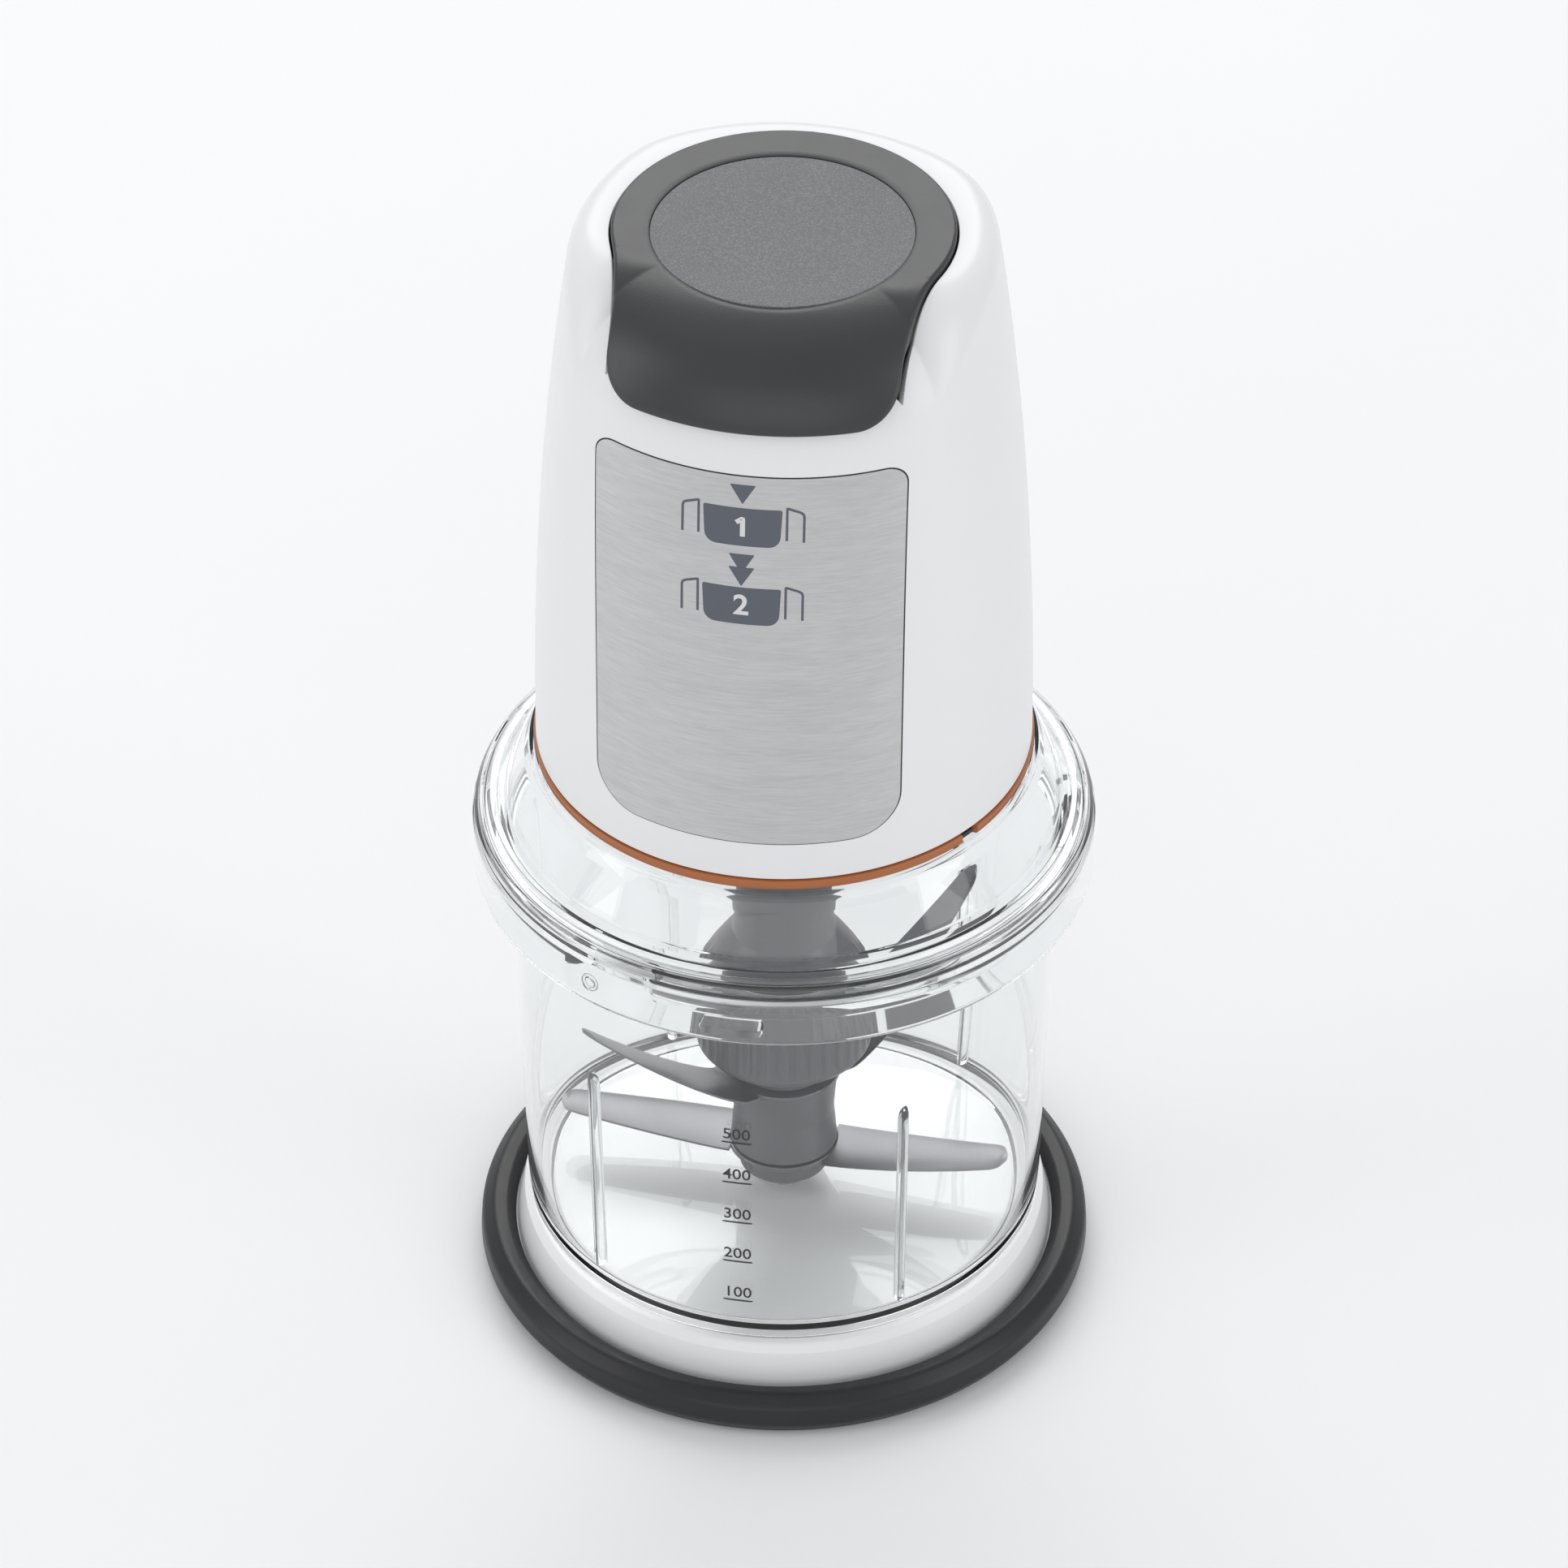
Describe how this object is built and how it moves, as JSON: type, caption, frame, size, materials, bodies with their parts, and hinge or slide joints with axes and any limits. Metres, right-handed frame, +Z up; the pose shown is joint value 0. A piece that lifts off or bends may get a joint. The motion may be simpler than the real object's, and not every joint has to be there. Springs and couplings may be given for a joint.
{
  "type": "mini food chopper",
  "caption": "Press-top electric mini chopper: motor head on a clear twist-lock cover, over a clear bowl with a tall winged knife, on a non-slip base.",
  "frame": {"origin": "centre of the footprint, on the surface that the appliance stands on", "axes": "+Z up; -Y is the front, with the metal panel and the button's flap"},
  "size_m": [0.133, 0.133, 0.2664],
  "materials": {
    "white_plastic": "smooth satin-gloss moulding",
    "black_rubber": "satin black rubber",
    "clear_plastic": "polished clear moulding",
    "bright_steel": "satin stainless steel",
    "dark_grey_plastic": "fine matt moulding",
    "orange_plastic": "satin burnt-orange moulding",
    "brushed_metal": "sheet brushed across its width",
    "button_plastic": "satin charcoal moulding",
    "pad_plastic": "fine speckled grain",
    "electrical_steel": "stamped sheet edges",
    "copper": "enamelled copper wire",
    "bronze": "sintered bronze",
    "natural_nylon": "natural moulded nylon",
    "black_plastic": "matt black moulding",
    "circuit_board": "green solder mask",
    "yellow_plastic": "moulded case"
  },
  "bodies": {
    "base": {"base_lid": "white_plastic", "base_rubber_ring": "black_rubber"},
    "bowl": {"bowl": "clear_plastic", "centre_pin": "bright_steel"},
    "knife": {"knife_stem": "dark_grey_plastic", "lower_knife": "bright_steel", "knife_spacer": "dark_grey_plastic", "upper_knife": "bright_steel", "knife_collar": "dark_grey_plastic"},
    "cover": {"bowl_cover": "clear_plastic"},
    "head": {"head_shell": "white_plastic", "trim_ring": "orange_plastic", "head_base_plate": "white_plastic", "control_panel": "brushed_metal", "cord_gland": "black_rubber", "base_screw_1": "bright_steel", "base_screw_2": "bright_steel", "base_screw_3": "bright_steel", "base_screw_4": "bright_steel", "output_bush": "bronze", "gearbox_housing": "natural_nylon", "ring_gear": "natural_nylon", "motor_mount": "electrical_steel", "lower_bearing": "bronze", "stator_core": "electrical_steel", "field_coil_front": "copper", "field_coil_rear": "copper", "upper_bracket": "electrical_steel", "upper_bearing": "bronze", "brush_holder_front": "bronze", "brush_holder_rear": "bronze", "carbon_brush_front": "black_plastic", "carbon_brush_rear": "black_plastic", "circuit_board": "circuit_board", "suppression_capacitor": "yellow_plastic", "rectifier": "black_plastic", "interlock_switch": "black_plastic", "button_tray": "natural_nylon", "speed_switch": "black_plastic", "button_spring_left": "bright_steel", "button_spring_right": "bright_steel"},
    "rotor": {"motor_shaft": "bright_steel", "armature_core": "electrical_steel", "armature_windings": "copper", "commutator": "copper", "cooling_fan": "natural_nylon", "sun_gear": "bronze"},
    "carrier": {"planet_carrier": "bright_steel", "drive_dog": "dark_grey_plastic"},
    "planet_1": {"planet_gear_1": "natural_nylon"},
    "planet_2": {"planet_gear_2": "natural_nylon"},
    "planet_3": {"planet_gear_3": "natural_nylon"},
    "button": {"speed_button": "button_plastic", "button_pad": "pad_plastic"},
    "plunger": {"switch_plunger": "natural_nylon"},
    "interlock": {"interlock_pin": "black_plastic"}
  },
  "joints": [
    {"name": "bowl_lift", "type": "slide", "parent": "base", "child": "bowl", "axis": [0, 0, 1], "range_m": [0, 0.04]},
    {"name": "blade_spin", "type": "hinge", "parent": "bowl", "child": "knife", "pos_m": [0, 0, 0.045], "axis": [0, 0, 1], "continuous": true},
    {"name": "cover_twist", "type": "hinge", "parent": "bowl", "child": "cover", "pos_m": [0, 0, 0.115], "axis": [0, 0, 1], "range_deg": [-25, 0]},
    {"name": "head_lift", "type": "slide", "parent": "cover", "child": "head", "axis": [0, 0, 1], "range_m": [0, 0.06]},
    {"name": "button_press", "type": "slide", "parent": "head", "child": "button", "axis": [0, 0, -1], "range_m": [0, 0.003], "stiffness_N_per_m": 1500, "springref_m": -0.003, "deforming": ["button_spring_left", "button_spring_right"]},
    {"name": "switch_press", "type": "slide", "parent": "head", "child": "plunger", "axis": [0, 0, -1], "range_m": [0, 0.003]},
    {"name": "interlock_press", "type": "slide", "parent": "head", "child": "interlock", "axis": [0, 0, 1], "range_m": [0, 0.001], "stiffness_N_per_m": 300, "springref_m": -0.002},
    {"name": "motor_spin", "type": "hinge", "parent": "head", "child": "rotor", "pos_m": [0, 0, 0.19], "axis": [0, 0, 1], "continuous": true},
    {"name": "carrier_spin", "type": "hinge", "parent": "head", "child": "carrier", "pos_m": [0, 0, 0.15], "axis": [0, 0, 1], "continuous": true},
    {"name": "planet_spin_1", "type": "hinge", "parent": "carrier", "child": "planet_1", "pos_m": [0.012, 0, 0.156], "axis": [0, 0, 1], "continuous": true},
    {"name": "planet_spin_2", "type": "hinge", "parent": "carrier", "child": "planet_2", "pos_m": [-0.006, 0.01039, 0.156], "axis": [0, 0, 1], "continuous": true},
    {"name": "planet_spin_3", "type": "hinge", "parent": "carrier", "child": "planet_3", "pos_m": [-0.006, -0.01039, 0.156], "axis": [0, 0, 1], "continuous": true}
  ],
  "couplings": [
    {"joint": "switch_press", "follows": "button_press", "ratio": 1},
    {"joint": "carrier_spin", "follows": "motor_spin", "ratio": 0.25},
    {"joint": "blade_spin", "follows": "motor_spin", "ratio": 0.25},
    {"joint": "planet_spin_1", "follows": "motor_spin", "ratio": -0.75},
    {"joint": "planet_spin_2", "follows": "motor_spin", "ratio": -0.75},
    {"joint": "planet_spin_3", "follows": "motor_spin", "ratio": -0.75}
  ]
}
